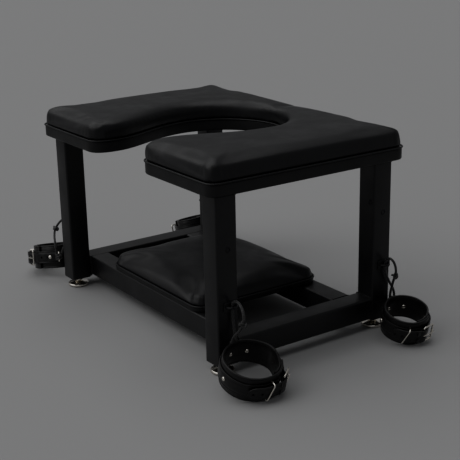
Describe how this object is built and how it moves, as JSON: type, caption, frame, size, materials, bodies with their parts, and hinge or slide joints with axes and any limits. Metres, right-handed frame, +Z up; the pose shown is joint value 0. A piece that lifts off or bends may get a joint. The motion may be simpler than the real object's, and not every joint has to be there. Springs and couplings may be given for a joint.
{
  "type": "padded restraint bench",
  "caption": "Low padded bench with a U-shaped seat, a square-tube frame, a crowned lower pad, levelling feet and buckled leather cuffs tethered to its legs.",
  "frame": {"origin": "on the floor, under the middle of the bench", "axes": "+Z up; +X across the bench, its longest way; -Y towards the front, where the U of the seat opens"},
  "size_m": [0.8284, 0.4386, 0.366],
  "materials": {
    "frame_steel": "satin black powder coat",
    "pad_vinyl": "soft-sheen black faux leather over foam",
    "board_cover": "black faux leather wrapped over plywood",
    "cuff_leather": "smooth black leather with pale cut edges blacked",
    "bright_metal": "bright nickel plate",
    "plug_plastic": "moulded black",
    "cord": "tightly braided black cord"
  },
  "bodies": {
    "frame": {"side_rail_left": "frame_steel", "side_rail_right": "frame_steel", "cross_rail_front": "frame_steel", "cross_rail_rear": "frame_steel", "seat_board": "board_cover", "seat_pad": "pad_vinyl", "lower_board": "board_cover", "lower_pad": "pad_vinyl", "leg_front_left": "frame_steel", "leg_plug_front_left": "plug_plastic", "lock_nut_front_left": "bright_metal", "anchor_eye_front_left": "frame_steel", "leg_front_right": "frame_steel", "leg_plug_front_right": "plug_plastic", "lock_nut_front_right": "bright_metal", "anchor_eye_front_right": "frame_steel", "leg_rear_right": "frame_steel", "leg_plug_rear_right": "plug_plastic", "lock_nut_rear_right": "bright_metal", "anchor_eye_rear_right": "frame_steel", "leg_rear_left": "frame_steel", "leg_plug_rear_left": "plug_plastic", "lock_nut_rear_left": "bright_metal", "anchor_eye_rear_left": "frame_steel"},
    "foot_front_left": {"levelling_foot_front_left": "bright_metal"},
    "tether_front_left": {"tether_cord_front_left": "cord"},
    "ring_front_left": {"d_ring_front_left": "bright_metal"},
    "cuff_front_left": {"cuff_band_front_left": "cuff_leather", "cuff_strap_front_left": "cuff_leather", "strap_keeper_front_left": "bright_metal", "ring_tab_front_left": "cuff_leather", "buckle_frame_front_left": "bright_metal"},
    "prong_front_left": {"buckle_prong_front_left": "bright_metal"},
    "foot_front_right": {"levelling_foot_front_right": "bright_metal"},
    "tether_front_right": {"tether_cord_front_right": "cord"},
    "ring_front_right": {"d_ring_front_right": "bright_metal"},
    "cuff_front_right": {"cuff_band_front_right": "cuff_leather", "cuff_strap_front_right": "cuff_leather", "strap_keeper_front_right": "bright_metal", "ring_tab_front_right": "cuff_leather", "buckle_frame_front_right": "bright_metal"},
    "prong_front_right": {"buckle_prong_front_right": "bright_metal"},
    "foot_rear_right": {"levelling_foot_rear_right": "bright_metal"},
    "tether_rear_right": {"tether_cord_rear_right": "cord"},
    "ring_rear_right": {"d_ring_rear_right": "bright_metal"},
    "cuff_rear_right": {"cuff_band_rear_right": "cuff_leather", "cuff_strap_rear_right": "cuff_leather", "strap_keeper_rear_right": "bright_metal", "ring_tab_rear_right": "cuff_leather", "buckle_frame_rear_right": "bright_metal"},
    "prong_rear_right": {"buckle_prong_rear_right": "bright_metal"},
    "foot_rear_left": {"levelling_foot_rear_left": "bright_metal"},
    "tether_rear_left": {"tether_cord_rear_left": "cord"},
    "ring_rear_left": {"d_ring_rear_left": "bright_metal"},
    "cuff_rear_left": {"cuff_band_rear_left": "cuff_leather", "cuff_strap_rear_left": "cuff_leather", "strap_keeper_rear_left": "bright_metal", "ring_tab_rear_left": "cuff_leather", "buckle_frame_rear_left": "bright_metal"},
    "prong_rear_left": {"buckle_prong_rear_left": "bright_metal"}
  },
  "joints": [
    {"name": "foot_level_front_left", "type": "slide", "parent": "frame", "child": "foot_front_left", "axis": [0, 0, 1], "range_m": [-0.004, 0.002]},
    {"name": "tether_swing_front_left", "type": "hinge", "parent": "frame", "child": "tether_front_left", "pos_m": [-0.2841, -0.16, 0.121], "axis": [0, 0, 1], "range_deg": [-25, 25]},
    {"name": "ring_lift_front_left", "type": "hinge", "parent": "tether_front_left", "child": "ring_front_left", "pos_m": [-0.3056, -0.18248, 0.04994], "axis": [0.3746, 0.9272, 0], "range_deg": [0, 8]},
    {"name": "cuff_turn_front_left", "type": "hinge", "parent": "ring_front_left", "child": "cuff_front_left", "pos_m": [-0.31216, -0.17983, 0.04811], "axis": [-0.2321, 0.0938, 0.9681], "range_deg": [-15, 15]},
    {"name": "prong_lift_front_left", "type": "hinge", "parent": "cuff_front_left", "child": "prong_front_left", "pos_m": [-0.37405, -0.21478, 0.03666], "axis": [0.2321, -0.0938, -0.9681], "range_deg": [0, 15]},
    {"name": "foot_level_front_right", "type": "slide", "parent": "frame", "child": "foot_front_right", "axis": [0, 0, 1], "range_m": [-0.004, 0.002]},
    {"name": "tether_swing_front_right", "type": "hinge", "parent": "frame", "child": "tether_front_right", "pos_m": [0.2841, -0.16, 0.121], "axis": [0, 0, 1], "range_deg": [-25, 25]},
    {"name": "ring_lift_front_right", "type": "hinge", "parent": "tether_front_right", "child": "ring_front_right", "pos_m": [0.29126, -0.16353, 0.05758], "axis": [-0.1392, -0.9903, 0], "range_deg": [0, 8]},
    {"name": "cuff_turn_front_right", "type": "hinge", "parent": "ring_front_right", "child": "cuff_front_right", "pos_m": [0.29809, -0.16449, 0.0552], "axis": [0.3224, -0.0453, 0.9455], "range_deg": [-15, 15]},
    {"name": "prong_lift_front_right", "type": "hinge", "parent": "cuff_front_right", "child": "prong_front_right", "pos_m": [0.39386, -0.1425, 0.0236], "axis": [-0.3224, 0.0453, -0.9455], "range_deg": [0, 15]},
    {"name": "foot_level_rear_right", "type": "slide", "parent": "frame", "child": "foot_rear_right", "axis": [0, 0, 1], "range_m": [-0.004, 0.002]},
    {"name": "tether_swing_rear_right", "type": "hinge", "parent": "frame", "child": "tether_rear_right", "pos_m": [0.2841, 0.17, 0.121], "axis": [0, 0, 1], "range_deg": [-25, 5]},
    {"name": "ring_lift_rear_right", "type": "hinge", "parent": "tether_rear_right", "child": "ring_rear_right", "pos_m": [0.28906, 0.18403, 0.04912], "axis": [-0.2756, -0.9613, 0], "range_deg": [0, 8]},
    {"name": "cuff_turn_rear_right", "type": "hinge", "parent": "ring_rear_right", "child": "cuff_rear_right", "pos_m": [0.29579, 0.1821, 0.04704], "axis": [0.273, -0.0783, 0.9588], "range_deg": [-15, 15]},
    {"name": "prong_lift_rear_right", "type": "hinge", "parent": "cuff_rear_right", "child": "prong_rear_right", "pos_m": [0.3848, 0.16812, 0.02056], "axis": [-0.273, 0.0783, -0.9588], "range_deg": [0, 15]},
    {"name": "foot_level_rear_left", "type": "slide", "parent": "frame", "child": "foot_rear_left", "axis": [0, 0, 1], "range_m": [-0.004, 0.002]},
    {"name": "tether_swing_rear_left", "type": "hinge", "parent": "frame", "child": "tether_rear_left", "pos_m": [-0.2841, 0.17, 0.121], "axis": [0, 0, 1], "range_deg": [-5, 25]},
    {"name": "ring_lift_rear_left", "type": "hinge", "parent": "tether_rear_left", "child": "ring_rear_left", "pos_m": [-0.29199, 0.18082, 0.04984], "axis": [-0.1736, 0.9848, 0], "range_deg": [0, 8]},
    {"name": "cuff_turn_rear_left", "type": "hinge", "parent": "ring_rear_left", "child": "cuff_rear_left", "pos_m": [-0.29887, 0.17961, 0.0477], "axis": [-0.2879, -0.0508, 0.9563], "range_deg": [-15, 15]},
    {"name": "prong_lift_rear_left", "type": "hinge", "parent": "cuff_rear_left", "child": "prong_rear_left", "pos_m": [-0.38477, 0.15319, 0.02044], "axis": [0.2879, 0.0508, -0.9563], "range_deg": [0, 15]}
  ]
}
